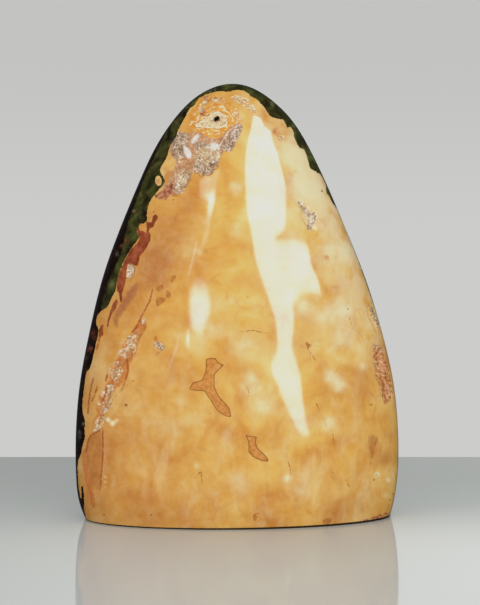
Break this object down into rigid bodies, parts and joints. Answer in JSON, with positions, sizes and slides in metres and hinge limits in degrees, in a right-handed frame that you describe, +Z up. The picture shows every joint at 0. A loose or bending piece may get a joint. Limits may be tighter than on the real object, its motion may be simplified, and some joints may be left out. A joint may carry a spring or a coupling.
{
  "type": "polished bicolor jasper freeform",
  "caption": "Upright polished jasper freeform: a bell-shaped stone with a rounded tip, a domed orange-yellow front, a dark green rind behind, shallow crystal pits and a flat sawn base.",
  "frame": {"origin": "middle of the flat sawn base, on the surface that the stone stands on", "axes": "+Z up towards the tip, +X to the right seen from the front, the domed front faces -Y"},
  "size_m": [0.2237, 0.1252, 0.3],
  "materials": {
    "jasper": "polished"
  },
  "bodies": {
    "root": {"jasper_stone": "jasper"}
  },
  "joints": []
}
